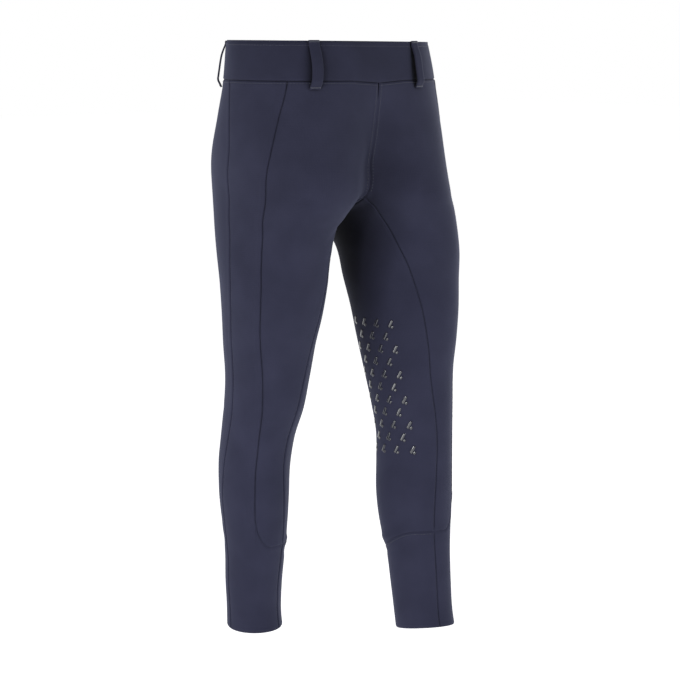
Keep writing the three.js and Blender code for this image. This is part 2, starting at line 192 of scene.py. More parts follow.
@dataclass
class Leg:
    """A leg's side of the middle plane, its cuff seam and hem, how its level lines lean, and how far
    its inner front seam turns inwards below the knee."""

    name: str
    side: int
    cuff: float
    hem: float
    lean: float
    lean_to: float
    inner_turn: float

    def y(self, at):
        return at[f"{self.name}_y"]


RIGHT = Leg("right", -1, cuff=522, hem=614, lean=2.6, lean_to=48, inner_turn=7)
LEFT = Leg("left", 1, cuff=509.5, hem=610, lean=4, lean_to=170, inner_turn=0)


def mix(a, b, share):
    return a + (b - a) * share


def soft_step(value, start, end):
    """From 0 at start to 1 at end, smoothly."""
    t = np.clip((value - start) / (end - start), 0, 1)
    return t * t * (3 - 2 * t)


def tube_field(at, leg, x, y):
    across = x * leg.side - at["apart"]
    along = y - leg.y(at)
    deep = at["deep"] + np.where(along > 0, at["seat"], 0)
    a, b, c = at["wide"] ** 2, deep**2, at["skew"] * at["wide"] * deep
    square = (b * across**2 - 2 * c * across * along + a * along**2) / (a * b - c * c)
    return (np.sqrt(square) - 1) * np.sqrt(at["wide"] * at["deep"])


def field(points):
    """Negative inside the body, zero on its surface, in about millimetres."""
    at = body(-points[..., 2])
    x, y = points[..., 0], points[..., 1]
    right, left = (tube_field(at, leg, x, y) for leg in (RIGHT, LEFT))
    near = np.maximum(1 - np.abs(right - left) / at["blend"], 0)
    return np.minimum(right, left) - near**3 * at["blend"] / 6


def unit(vectors):
    return vectors / np.linalg.norm(vectors, axis=-1, keepdims=True)


def facing(points):
    """The way that the surface faces at each point."""
    nudge = 0.5 * np.eye(3)
    slope = [field(points + step) - field(points - step) for step in nudge]
    return unit(np.stack(slope, axis=-1))


def surface_from(start, direction):
    """The first point of the surface from each place inside, along a direction."""
    stride, strides, halvings = 4.0, 40, 22
    start, direction = np.broadcast_arrays(start, direction)
    far = np.full(start.shape[:-1], stride)
    for _ in range(strides):
        inside = field(start + direction * far[..., None]) < 0
        if not inside.any():
            break
        far = np.where(inside, far + stride, far)
    near = far - stride
    for _ in range(halvings):
        middle = (near + far) / 2
        inside = field(start + direction * middle[..., None]) < 0
        near, far = np.where(inside, middle, near), np.where(inside, far, middle)
    return start + direction * near[..., None]


def onto_surface(points):
    for _ in range(4):
        points = points - facing(points) * field(points)[..., None]
    return points


def points_at(leg, degrees, down):
    """Points of the surface at angles around a leg and distances down."""
    at = body(down)
    start = np.stack([leg.side * at["apart"], leg.y(at), -down], axis=-1)
    turn = np.radians(degrees)
    direction = np.stack([leg.side * np.sin(turn), -np.cos(turn), 0 * turn], axis=-1)
    return surface_from(start, direction)


def leg_points(leg, degrees, level):
    """The same on level lines, which drop to the left at the waist and lean with the lower leg."""
    degrees, level = np.broadcast_arrays(np.asarray(degrees, float), np.asarray(level, float))
    lean = leg.lean * soft_step(level, LEAN_FROM, leg.hem)
    down = level + lean * np.cos(np.radians(degrees - leg.lean_to))
    points = points_at(leg, degrees, down)
    tilt = WAIST_TILT * (1 - soft_step(level, 0, TILT_ENDS))
    return points_at(leg, degrees, down + tilt * points[..., 0]) if tilt.any() else points


def middle_points(side, down):
    """Points of the middle plane at the front or the back."""
    down = np.asarray(down, float)
    start = np.stack([0 * down, 0 * down, -down], axis=-1)
    return surface_from(start, np.array([0, -1.0 if side == FRONT else 1.0, 0]))


def middle_angle(leg, side, down):
    """Their angles, seen from a leg's axis."""
    at = body(down)
    along = middle_points(side, down)[..., 1] - leg.y(at)
    angle = np.degrees(np.arctan2(-at["apart"], -along))
    return angle + (0 if side == FRONT else FULL_TURN)


def seam_angle(leg, name, level):
    """The angle of a seam at each level. Above the crotch the inner seams are the centre front and
    back. The inner panels run on round the inside to the inner front seam, a full turn on."""
    if name == "inner_front_again":
        return seam_angle(leg, "inner_front", level) + FULL_TURN
    level = np.asarray(level, float)
    angle = seams(level)[name]
    if name == "inner_front":
        angle = angle - leg.inner_turn * soft_step(level, LEAN_FROM, leg.cuff)
    if name in ("inner_front", "inner_back"):
        side = FRONT if name == "inner_front" else BEHIND
        middle = middle_angle(leg, side, np.minimum(level, CROTCH_TOP))
        below = (level - CROTCH_TOP) / (CROTCH_NEXT - CROTCH_TOP)
        angle = mix(middle, angle, np.clip(below, 0, 1))
    return angle


def cuff_level(leg, degrees):
    """The seam above the inner cuff: level in front, then falling towards the back."""
    inward = np.where(degrees > BEHIND, FULL_TURN - degrees, -degrees)
    return leg.cuff + CUFF_FALL * soft_step(inward, 45, 140)


def front_end(leg, degrees):
    """The front panel's lower edge: level, then rounded up to the front seam."""
    corner = seams(leg.cuff - CORNER_DROP)["front_seam"]
    into = np.clip(1 - (corner - degrees) / CORNER_TURN, 0, 1)
    return leg.cuff - CORNER_DROP * (1 - np.sqrt(1 - into**2))


def seam_end(leg, name):
    """Where a seam's lowest stretch starts."""
    ends = {
        "front_seam": leg.cuff - CORNER_DROP,
        "side_seam": leg.cuff - CORNER_DROP / 2,
        "inner_back": cuff_level(leg, seams(leg.cuff)["inner_back"]),
    }
    return float(ends.get(name, leg.cuff))


def band_edge(leg, degrees):
    """The waistband's lower edge: level, with a shallow V at the centre front."""
    away = np.abs(degrees - middle_angle(leg, FRONT, BAND_HEIGHT))
    return BAND_HEIGHT + FRONT_DIP * np.maximum(0, 1 - away / DIP_WIDTH)


def shares(length, fine_start=True, fine_end=True):
    """Shares of a length at which a net has points: close together at its edges."""
    start = EDGE_STEPS if fine_start else [0]
    end = EDGE_STEPS if fine_end else [0]
    middle = length - start[-1] - end[-1]
    count = max(int(middle / STEP), 2)
    inner = start[-1] + middle * np.arange(1, count) / count
    return np.concatenate([start, inner, length - np.array(end[::-1])]) / length


def stretches(*parts):
    """Rows of a net as stretch numbers and shares of them, from the shares of each stretch."""
    rows = [number + part[(1 if number else 0) :] for number, part in enumerate(parts)]
    return np.concatenate(rows)


def places_between(leg, first, second, rows, across, top=BAND_HEIGHT, lower_edge=None):
    """Angles and levels of a net between two seams. Its rows run in stretches: to the last common
    level, to each seam's end, and to the hem."""
    knots = [
        np.interp(rows, range(4), [top, STRAIGHT_TO, seam_end(leg, name), leg.hem])
        for name in (first, second)
    ]
    level = mix(knots[0][:, None], knots[1][:, None], across)
    angles = [seam_angle(leg, name, knot)[:, None] for name, knot in zip((first, second), knots)]
    degrees = mix(*angles, across)
    if lower_edge:
        ends = [seam_angle(leg, name, seam_end(leg, name)) for name in (first, second)]
        edge = lower_edge(leg, mix(*ends, across))
        low = rows > 1
        level[low] = mix(STRAIGHT_TO, edge, rows[low, None] - 1)
    return degrees, level


def places_under_band(leg, first, second, rows, across, **options):
    """The same for a net whose first row follows the waistband."""
    degrees, level = places_between(leg, first, second, rows, across, **options)
    dip = band_edge(leg, degrees[0]) - BAND_HEIGHT
    fading = 1 - np.clip((level - BAND_HEIGHT) / (DIP_ENDS - BAND_HEIGHT), 0, 1)
    return degrees, level + dip * fading


def places_to_hem(leg, degrees, level, first, second, shares_down, across):
    """The same from an upper edge down to the hem."""
    rows = mix(level, leg.hem, shares_down[:, None])
    ends = [seam_angle(leg, first, rows[:, :1]), seam_angle(leg, second, rows[:, -1:])]
    angles = mix(*ends, across)
    angles[0] = degrees
    return angles, rows


def crotch_seam(across):
    """The seam under the crotch, in the middle plane from the back to the front."""
    front = middle_points(FRONT, CROTCH_TOP)
    back = middle_points(BEHIND, CROTCH_TOP)
    turn = np.pi * across
    direction = np.stack([0 * turn, np.cos(turn), -np.sin(turn)], axis=-1)
    return surface_from((front + back) / 2, direction)


def net_between(top, bottom, first_side, second_side, down, across):
    """Between four edges of points, a net that takes up their shapes, laid onto the surface."""
    u, v = across[None, :, None], down[:, None, None]
    sides = mix(first_side[:, None], second_side[:, None], u)
    edges = mix(top[None], bottom[None], v)
    corners = mix(mix(top[0], top[-1], u), mix(bottom[0], bottom[-1], u), v)
    net = onto_surface(sides + edges - corners)
    net[0], net[-1] = top, bottom
    net[:, 0], net[:, -1] = first_side, second_side
    return net


class Sheet:
    """Nets of points that together become one piece of cloth."""

    def __init__(self, leg):
        self.mirrored = leg.side < 0
        self.nets, self.indices, self.uvs = [], [], []

    def add(self, net, width, length, across, down, last_column=None):
        """last_column gives the indices of an earlier net's points that this net ends on."""
        count = sum(made.size // 3 for made in self.nets)
        index = count + np.arange(net.size // 3).reshape(net.shape[:2])
        if last_column is not None:
            index[:, -1] = last_column
        self.nets.append(net)
        self.indices.append(index)
        self.uvs.append(np.stack(np.meshgrid(across * width, down * length), axis=-1))
        return index

    def finish(self):
        """Points, faces and the cloth's own places at the faces' corners, in millimetres."""
        points = np.concatenate([net.reshape(-1, 3) for net in self.nets])
        order = [(0, 0), (1, 0), (1, 1), (0, 1)]
        if self.mirrored:
            order = order[::-1]

        def corners(grid):
            rows, columns = grid.shape[0] - 1, grid.shape[1] - 1
            picks = [grid[j : j + rows, i : i + columns] for j, i in order]
            return np.stack(picks, axis=2).reshape(rows * columns, 4, *grid.shape[2:])

        faces = np.concatenate([corners(index) for index in self.indices])
        uv = np.concatenate([corners(grid) for grid in self.uvs])
        used, faces = np.unique(faces, return_inverse=True)
        return points[used], faces.reshape(-1, 4), uv


def rim_of(faces):
    """The edges that only one face has, in its direction."""
    edges = np.stack([faces, np.roll(faces, -1, axis=1)], axis=-1).reshape(-1, 2)
    size = faces.max() + 1
    alone = ~np.isin(edges[:, 0] * size + edges[:, 1], edges[:, 1] * size + edges[:, 0])
    return edges[alone]


class Curve:
    """A line of points on the cloth that can tell how far away other points are."""

    def __init__(self, points):
        step = 0.3
        lengths = np.linalg.norm(np.diff(points, axis=0), axis=1)
        along = np.concatenate([[0], np.cumsum(lengths)])
        self.length = along[-1]
        self.along = np.linspace(0, self.length, max(int(self.length / step), 2))
        self.points = np.stack([np.interp(self.along, along, axis) for axis in points.T], axis=-1)
        self.tree = kdtree.KDTree(len(self.points))
        for number, point in enumerate(self.points):
            self.tree.insert(point, number)
        self.tree.balance()

    def distances(self, points):
        """How far each point is from the line, and how far along the line that is."""
        found = [self.tree.find(point) for point in points]
        near = np.array([hit[1] for hit in found], int)
        return np.array([hit[2] for hit in found]), self.along[near]


# Creases that the worn cloth shows, and similar ones on its hidden sides: a line from one place
# to another around a leg, bowed downwards, with its half width and height, troughs below zero
CREASE_COLUMNS = ["leg", "from", "from_level", "to", "to_level", "bow", "width", "height"]
CREASES = [
    # across the front below the hip, and drawn from the crotch
    ["right", 8, 155, 44, 147, 3, 6, -0.7],
    ["right", -2, 164, 34, 160, 4, 7, 0.5],
    ["right", -46, 183, -8, 203, -4, 7, -0.9],
    ["right", -50, 175, -14, 187, -3, 6, 0.6],
    ["left", -44, 181, -6, 201, -4, 7, -0.9],
    ["left", -47, 173, -12, 184, -3, 6, 0.6],
    ["left", 4, 165, 42, 157, 4, 7, -0.6],
    # below the seat
    ["right", 150, 193, 205, 211, 5, 8, -1.5],
    ["right", 140, 209, 200, 225, 4, 7, -1.1],
    ["right", 165, 181, 214, 193, 4, 7, 0.8],
    ["left", 152, 191, 208, 208, 5, 8, -1.5],
    ["left", 143, 206, 202, 223, 4, 7, -1.1],
    ["left", 166, 179, 215, 191, 4, 7, 0.8],
    # behind the knees
    ["right", 140, 355, 215, 363, 5, 7, -1.5],
    ["right", 132, 373, 205, 378, 4, 6, -1.3],
    ["right", 150, 391, 222, 389, 3, 6, -1.1],
    ["right", 146, 364, 210, 371, 4, 5, 0.8],
    ["left", 142, 349, 214, 357, 5, 7, -1.5],
    ["left", 134, 368, 206, 373, 4, 6, -1.3],
    ["left", 152, 385, 220, 384, 3, 6, -1.1],
    ["left", 147, 358, 209, 366, 4, 5, 0.8],
    # above the cuffs, where the foot pushes the cloth up
    ["right", -90, 520, -24, 516, 3, 4, 1.2],
    ["right", -95, 535, -22, 530, 2, 5, -0.8],
    ["left", -165, 517, -75, 511, 2, 4, 1.1],
    ["left", -165, 530, -80, 523, 2, 5, -1.0],
    ["right", -100, 507, -48, 504, 3, 5, -0.6],
    ["right", 120, 517, 190, 523, 3, 6, -0.9],
    ["right", 130, 505, 185, 509, 2, 5, 0.6],
    ["left", -90, 511, -34, 505, 3, 5, 0.7],
    ["left", -98, 499, -50, 495, 3, 5, -0.6],
    ["left", 118, 505, 186, 510, 3, 6, -0.9],
    ["left", 128, 494, 182, 497, 2, 5, 0.6],
]


def crease_lines():
    lines = []
    for row in CREASES:
        crease = dict(zip(CREASE_COLUMNS, row))
        share = np.linspace(0, 1, 40)
        level = mix(crease["from_level"], crease["to_level"], share)
        level = level + crease["bow"] * 4 * share * (1 - share)
        leg = RIGHT if crease["leg"] == "right" else LEFT
        points = leg_points(leg, mix(crease["from"], crease["to"], share), level)
        lines.append((points, np.sin(np.pi * share) ** 0.8, crease))
    return lines


CREASE_LINES = crease_lines()


def crease_height(points):
    """What the creases add to the cloth's height."""
    height = np.zeros(len(points))
    for line, strength, crease in CREASE_LINES:
        reach = 3 * crease["width"]
        close = ((points > line.min(0) - reach) & (points < line.max(0) + reach)).all(axis=1)
        apart = np.linalg.norm(points[close][:, None] - line[None], axis=-1)
        if not apart.size:
            continue
        nearest = apart.argmin(axis=1)
        distance = apart[np.arange(len(nearest)), nearest]
        shape = np.exp(-((distance / crease["width"]) ** 2))
        height[close] += crease["height"] * shape * strength[nearest]
    return height


def slack(points):
    """Slow unevenness of cloth that isn't stretched hard, the same on every piece."""
    x, y, z = points.T
    waves = np.sin(z / 23 + 2.1 * np.sin(x / 37 + y / 51)) * np.sin((x - y) / 31 + z / 97)
    fine = np.sin(z / 11.3 + x / 17 + 1.3) * np.sin(y / 19 - z / 41)
    return SLACK * waves + FINE_SLACK * fine


def pucker(distance, along, strength):
    """Small waves that sewing draws into the cloth beside a seam."""
    waves = np.sin(along * 0.93 + 0.4) + np.sin(along * 0.61 + 1.9) + np.sin(along * 1.37)
    return strength * waves / 3 * np.exp(-((distance / 4.5) ** 2)) * soft_step(distance, 0.3, 2)


def allowance(distance, width=ALLOWANCE):
    """The step of a seam allowance under the cloth."""
    return 1 - soft_step(distance, width - 0.7, width + 1.4)


def seam_curve(leg, name, top, bottom):
    levels = np.linspace(top, bottom, 240)
    return Curve(leg_points(leg, seam_angle(leg, name, levels), levels))


def centre_curve(side):
    top = BAND_HEIGHT + (FRONT_DIP if side == FRONT else 0)
    return Curve(middle_points(side, np.linspace(top, CROTCH_TOP, 120)))


def band_seam(leg):
    degrees = np.linspace(*(middle_angle(leg, side, BAND_HEIGHT) for side in (FRONT, BEHIND)), 240)
    return Curve(leg_points(leg, degrees, band_edge(leg, degrees)))


def front_end_curve(leg):
    degrees = mix(
        seam_angle(leg, "inner_front", leg.cuff),
        seams(leg.cuff - CORNER_DROP)["front_seam"],
        1 - np.linspace(1, 0, 160) ** 2,
    )
    return Curve(leg_points(leg, degrees, front_end(leg, degrees)))


def cuff_curve(leg):
    level = seam_end(leg, "inner_back")
    ends = [seam_angle(leg, "inner_back", level), seam_angle(leg, "inner_front_again", leg.cuff)]
    degrees = np.linspace(*ends, 160)
    return Curve(leg_points(leg, degrees, cuff_level(leg, degrees)))


def hem_curve(leg):
    return Curve(leg_points(leg, np.linspace(0, FULL_TURN, 240), leg.hem))


def curves_of(leg):
    return {
        "band": band_seam(leg),
        "front_seam": seam_curve(leg, "front_seam", BAND_HEIGHT, leg.cuff - CORNER_DROP),
        "side_seam": seam_curve(leg, "side_seam", BAND_HEIGHT, leg.hem),
        "inner_front": seam_curve(leg, "inner_front", CROTCH_TOP + 0.1, leg.hem),
        "inner_back": seam_curve(leg, "inner_back", CROTCH_TOP + 0.1, leg.hem),
        "centre_front": centre_curve(FRONT),
        "centre_back": centre_curve(BEHIND),
        "crotch": Curve(crotch_seam(np.linspace(0, 1, 160))),
        "front_end": front_end_curve(leg),
        "cuff": cuff_curve(leg),
        "hem": hem_curve(leg),
    }


CURVES = {leg.name: curves_of(leg) for leg in (RIGHT, LEFT)}

# Which seams' allowances lie under which panel, and how high they stand
RAISED = {
    "front": [("centre_front", 0.3, 3.6), ("band", 0.3, 6.5), ("front_end", 0.1, 5)],
    "side": [("front_seam", 0.5, ALLOWANCE), ("band", 0.3, 6.5), ("front_end", 0.25, 5)],
    "back": [("side_seam", 0.22, 5), ("centre_back", 0.3, 3.6), ("band", 0.3, 6.5)],
    "inner": [("inner_front", 0.25, 5), ("inner_back", 0.22, 5), ("crotch", 0.2, 5)],
    "inner_cuff": [("cuff", 0.3, 5), ("inner_front", 0.22, 5), ("inner_back", 0.22, 5)],
}


def panel_height(kind, leg, points, rim_points):
    """How far each point of a panel's outer face stands off the plain form."""
    curves = CURVES[leg.name]
    edge, along = Curve(rim_points).distances(points)
    hem, _ = curves["hem"].distances(points)
    at_seam = -SEAM_ROLL * np.clip(1 - edge / SEAM_ROLL_WIDTH, 0, 1) ** 2
    for name, share in SHALLOW.items():
        at_seam *= mix(share, 1, soft_step(curves[name].distances(points)[0], 2, 6))
    height = at_seam + pucker(edge, along, PUCKER) * soft_step(hem, 3, 12)
    for name, rise, width in RAISED[kind]:
        distance, _ = curves[name].distances(points)
        height += rise * allowance(distance, width) * soft_step(edge, 0.2, 1.4)
    return height + crease_height(points) + slack(points) * soft_step(edge, 0, 15)


def rim_line(points, rim):
    """The rim as one closed line of points."""
    following = dict(rim)
    line = [rim[0, 0]]
    while len(line) <= len(rim):
        line.append(following[line[-1]])
    return points[line]


def front_sheet(leg):
    across = shares(92)
    rows = stretches(shares(411, fine_end=False), shares(60, fine_start=False))
    places = places_under_band(
        leg, "inner_front", "front_seam", rows, across, lower_edge=front_end
    )
    sheet = Sheet(leg)
    sheet.add(leg_points(leg, *places), 92, 236, across, rows)
    return sheet


def side_sheet(leg):
    across = shares(58)
    end = shares(55, fine_start=False, fine_end=False)
    cuff = shares(112, fine_start=False)
    rows = stretches(shares(411, fine_end=False), end, cuff)
    upper = leg_points(leg, *places_under_band(leg, "front_seam", "side_seam", rows, across))
    sheet = Sheet(leg)
    index = sheet.add(upper, 58, 190, across, rows)
    lower_across = shares(50)
    lower_end = np.array([2.0])
    edge = places_between(
        leg, "inner_front", "front_seam", lower_end, lower_across, lower_edge=front_end
    )
    places = places_to_hem(
        leg, edge[0][0], edge[1][0], "inner_front", "front_seam", cuff, lower_across
    )
    column = index[-len(cuff) :, 0]
    sheet.add(leg_points(leg, *places), 50, 112, lower_across, cuff, last_column=column)
    return sheet


def back_sheet(leg):
    across = shares(104)
    rows = stretches(
        shares(411, fine_end=False),
        shares(60, fine_start=False, fine_end=False),
        shares(100, fine_start=False),
    )
    places = places_under_band(leg, "side_seam", "inner_back", rows, across)
    sheet = Sheet(leg)
    sheet.add(leg_points(leg, *places), 104, 190, across, rows)
    return sheet


def inner_sheet(leg):
    across = shares(88)
    share = (GRIP_FROM - CROTCH_TOP) / (STRAIGHT_TO - CROTCH_TOP)
    lower = mix(share, 1, shares(196, fine_start=False, fine_end=False))
    rows = np.concatenate([lower, 1 + shares(70, fine_start=False)[1:]])
    names = ["inner_back", "inner_front_again"]
    options = {"top": CROTCH_TOP, "lower_edge": cuff_level}
    below = leg_points(leg, *places_between(leg, *names, rows, across, **options))
    down = shares(GRIP_FROM - CROTCH_TOP, fine_end=False)
    levels = mix(CROTCH_TOP, GRIP_FROM, down[1:])
    seam = crotch_seam(across)
    sides = [
        np.vstack([end, leg_points(leg, seam_angle(leg, name, levels), levels)])
        for name, end in (("inner_back", seam[:1]), ("inner_front", seam[-1:]))
    ]
    sides = [np.vstack([side[:-1], below[:1, column]]) for side, column in zip(sides, (0, -1))]
    above = net_between(seam, below[0], *sides, down, across)
    net = np.concatenate([above, below[1:]])
    places = np.concatenate([down * share, rows[1:]])
    sheet = Sheet(leg)
    sheet.add(net, 88, 180, across, places)
    return sheet


def inner_cuff_sheet(leg):
    across = shares(72)
    names = ["inner_back", "inner_front_again"]
    options = {"top": CROTCH_TOP, "lower_edge": cuff_level}
    edge = places_between(leg, *names, np.array([2.0]), across, **options)
    down = shares(90)
    places = places_to_hem(leg, edge[0][0], edge[1][0], *names, down, across)
    sheet = Sheet(leg)
    sheet.add(leg_points(leg, *places), 72, 90, across, down)
    return sheet


def band_sheet():
    """The waistband, from the centre front round the left side and on round the right side."""
    around = np.arange(int(330 / STEP) + 1) / int(330 / STEP)
    down = shares(BAND_HEIGHT)
    halves = []
    for leg in (LEFT, RIGHT):
        ends = [middle_angle(leg, side, BAND_HEIGHT) for side in (FRONT, BEHIND)]
        level = band_edge(leg, mix(*ends, around))[None] * down[:, None]
        ends = [middle_angle(leg, side, level) for side in (FRONT, BEHIND)]
        half = leg_points(leg, mix(*ends, around), level)
        half[:, 0] = middle_points(FRONT, level[:, 0])
        half[:, -1] = middle_points(BEHIND, level[:, -1])
        halves.append(half)
    net = np.concatenate([halves[0], halves[1][:, -2:0:-1]], axis=1)
    sheet = Sheet(LEFT)
    places = np.arange(net.shape[1]) / (net.shape[1] - 1)
    index = sheet.add(net, 660, BAND_HEIGHT, places, down)
    join = np.stack([net[:, -1], net[:, 0]], axis=1)
    joined = sheet.add(join, STEP, BAND_HEIGHT, np.array([0, 1]), down, last_column=index[:, 0])
    joined[:, 0] = index[:, -1]
    return sheet


def make_object(name, points, faces, uv=None, materials=(), face_material=None):
    """A smooth mesh object from millimetre points. faces is one array or a list of lists."""
    mesh = bpy.data.meshes.new(name)
    mesh.from_pydata((np.asarray(points) * METRE).tolist(), [], [list(face) for face in faces])
    if uv is not None:
        layer = mesh.uv_layers.new(name="cloth")
        layer.data.foreach_set("uv", np.asarray(uv, np.float32).ravel())
    for material in materials:
        mesh.materials.append(material)
    if face_material is not None:
        mesh.polygons.foreach_set("material_index", np.asarray(face_material, np.int32))
    mesh.shade_smooth()
    mesh.set_sharp_from_angle(angle=math.radians(60))
    mesh.update()
    made = bpy.data.objects.new(name, mesh)
    bpy.context.scene.collection.objects.link(made)
    return made


def cloth_shell(name, sheet, height_of, wall, materials):
    """A thin closed shell on a sheet: the outer face with its finer form, and the plain inside."""
    points, faces, uv = sheet.finish()
    rim = rim_of(faces)
    normals = facing(points)
    height = height_of(points, rim)
    outer = points + normals * height[:, None]
    inner = points + normals * (np.minimum(height, 0) - wall)[:, None]
    count = len(points)
    turned = faces[:, ::-1] + count
    edges = np.stack([rim[:, 1], rim[:, 0], rim[:, 0] + count, rim[:, 1] + count], axis=1)
    edge_uv = np.zeros((len(rim), 4, 2))
    return make_object(
        name,
        np.concatenate([outer, inner]),
        np.concatenate([faces, turned, edges]),
        np.concatenate([uv, uv[:, ::-1], edge_uv]),
        materials,
        np.concatenate([np.zeros(len(faces)), np.ones(len(turned)), np.zeros(len(edges))]),
    )


SHEETS = {
    "front": front_sheet,
    "side": side_sheet,
    "back": back_sheet,
    "inner": inner_sheet,
    "inner_cuff": inner_cuff_sheet,
}


def make_panel(leg, kind, materials):
    def height_of(points, rim):
        return panel_height(kind, leg, points, rim_line(points, rim))

    return cloth_shell(f"{leg.name}_{kind}_cloth", SHEETS[kind](leg), height_of, CLOTH, materials)


def make_waistband(materials):
    def height_of(points, rim):
        """A rounded top edge, a seam below, and a soft crown between them."""
        down = -points[:, 2]
        left = points[:, 0] > 0
        below = np.full(len(points), np.inf)
        for leg, here in ((LEFT, left), (RIGHT, ~left)):
            below[here] = CURVES[leg.name]["band"].distances(points[here])[0]
        along = np.arctan2(points[:, 0], -points[:, 1]) * 105
        rounded = -1.0 * np.clip(1 - down / 1.6, 0, 1) ** 2
        rounded -= 1.0 * np.clip(1 - below / 1.4, 0, 1) ** 2
        crown = 0.25 * np.sin(np.pi * np.clip(down / BAND_HEIGHT, 0, 1))
        stitched = -0.25 * np.exp(-(((down - TOP_STITCH) / 1.1) ** 2))
        waves = pucker(below, along, BAND_PUCKER)
        waves += pucker(np.abs(down - 1), along + 40, TOP_PUCKER)
        return BAND_PROUD + rounded + crown + stitched + waves + slack(points) * 0.8

    return cloth_shell("waistband_cloth", band_sheet(), height_of, BAND_WALL, materials)


def belt_loop_section(count=9):
    """Across a loop from edge to edge: the place across, and how high its outer face rises."""
    across = np.sin(np.linspace(-np.pi / 2, np.pi / 2, count))
    return across * LOOP_WIDTH / 2, np.sqrt(np.maximum(1 - across**8, 0))


# Where the belt loops stand: angles around a leg at a loop's top and at its lower end, none for the
# centre back, and how far below the waist a loop starts. Only the front ones rise above the band.
LOWER_TOP = LOOP_TOP + 1.5
LOOPS = {
    "front_right": (RIGHT, (35, 35), LOOP_TOP),
    "front_left": (LEFT, (24, 19), LOOP_TOP),
    "side_right": (RIGHT, (122, 122), LOWER_TOP),
    "side_left": (LEFT, (122, 122), LOWER_TOP),
    "back": (LEFT, None, LOWER_TOP),
}


def loop_frame(leg, degrees, top, count=60):
    """A belt loop's inner line, its direction across and its outward directions."""
    down = np.linspace(top, LOOP_END, count)
    if degrees is None:
        feet = middle_points(BEHIND, down)
    else:
        feet = leg_points(leg, mix(*degrees, down / LOOP_END), down)
    level = facing(feet[-1:])[0] * [1, 1, 0]
    across = np.cross([0, 0, 1], unit(level))
    line = feet + facing(feet) * loop_curve(down)["off"][:, None]
    outward = unit(np.cross(np.gradient(line, axis=0), across))
    return line, across, outward


def make_loop(name, place_on_band, materials):
    line, across, outward = loop_frame(*place_on_band)
    place, rise = belt_loop_section()
    outer = (
        line[:, None]
        + across * place[None, :, None]
        + outward[:, None] * (LOOP_WALL * (0.35 + 0.65 * rise))[None, :, None]
    )
    inner = line[:, None] + across * place[None, :, None] + outward[:, None] * 0.15
    ring = np.concatenate([outer, inner[:, ::-1]], axis=1)
    rows, columns = ring.shape[:2]
    index = np.arange(rows * columns).reshape(rows, columns)
    following = np.roll(index, -1, axis=1)
    sides = np.stack([index[:-1], following[:-1], following[1:], index[1:]], axis=-1)
    uv = np.zeros((rows - 1, columns, 4, 2))
    uv[..., 0] = np.arange(columns)[None, :, None] * 1.2 + np.array([0, 1.2, 1.2, 0])
    uv[..., 1] = np.arange(rows - 1)[:, None, None] * 0.8 + np.array([0, 0, 0.8, 0.8])
    half = columns // 2
    caps = []
    for row, order in ((0, 1), (rows - 1, -1)):
        for i in range(half - 1):
            cap = [index[row, i], index[row, columns - 1 - i]]
            cap += [index[row, columns - 2 - i], index[row, i + 1]]
            caps.append(cap[::order])
    faces = np.concatenate([sides.reshape(-1, 4), np.array(caps)])
    uv = np.concatenate([uv.reshape(-1, 4, 2), np.zeros((len(caps), 4, 2))])
    return make_object(f"belt_loop_{name}", ring.reshape(-1, 3), faces, uv, materials)


def thread_mesh(starts, ends, ups, thickness):
    """Points and faces of short arched threads, each from a start to an end on the cloth."""
    sides, rings = 6, 5
    count = len(starts)
    share = np.linspace(0, 1, rings)
    girth = thickness / 2 * np.array([0.35, 0.9, 1.0, 0.9, 0.35])
    arch = thickness * np.array([-0.5, 0.15, 0.3, 0.15, -0.5])
    along = unit(ends - starts)
    beside = unit(np.cross(along, ups))
    centre = starts[:, None] + (ends - starts)[:, None] * share[None, :, None]
    centre = centre + ups[:, None] * arch[None, :, None]
    turn = np.linspace(0, 2 * np.pi, sides, endpoint=False)
    circle = (
        beside[:, None, None] * np.cos(turn)[None, None, :, None]
        + ups[:, None, None] * np.sin(turn)[None, None, :, None]
    )
    points = centre[:, :, None] + circle * girth[None, :, None, None]
    index = np.arange(rings * sides).reshape(rings, sides)
    following = np.roll(index, -1, axis=1)
    quads = np.stack([index[:-1], index[1:], following[1:], following[:-1]], axis=-1)
    faces = quads.reshape(-1, 4)[None] + (np.arange(count) * rings * sides)[:, None, None]
    return points.reshape(-1, 3), faces.reshape(-1, 4)


class Surface:
    """The finished cloth's outer height, so that threads and prints lie on it."""

    def __init__(self, pieces):
        self.points = np.concatenate([outer_points(piece) for piece in pieces])
        self.tree = kdtree.KDTree(len(self.points))
        for number, point in enumerate(self.points):
            self.tree.insert(point, number)
        self.tree.balance()

    def lift(self, points):
        """Points near the plain form, moved to the cloth's outer face, with its directions."""
        points = onto_surface(points)
        ups = facing(points)
        heights = np.zeros(len(points))
        for i, point in enumerate(points):
            near = self.tree.find_n(point, 3)
            offsets = [float((self.points[hit[1]] - point) @ ups[i]) for hit in near]
            weights = [1 / (hit[2] + 0.2) ** 2 for hit in near]
            heights[i] = np.average(offsets, weights=weights)
        return points + ups * heights[:, None], ups


def outer_points(piece):
    co = np.empty(len(piece.data.vertices) * 3, np.float32)
    piece.data.vertices.foreach_get("co", co)
    points = co.reshape(-1, 3) / METRE
    return points[: len(points) // 2].astype(float)


def beside(curve, offset, start=0.0, end=0.0):
    """A line at an offset beside a curve, to the right of its direction seen from outside."""
    keep = (curve.along >= start) & (curve.along <= curve.length - end)
    line = curve.points[keep][::4]
    way = unit(np.gradient(line, axis=0))
    return onto_surface(line + np.cross(way, facing(line)) * offset)


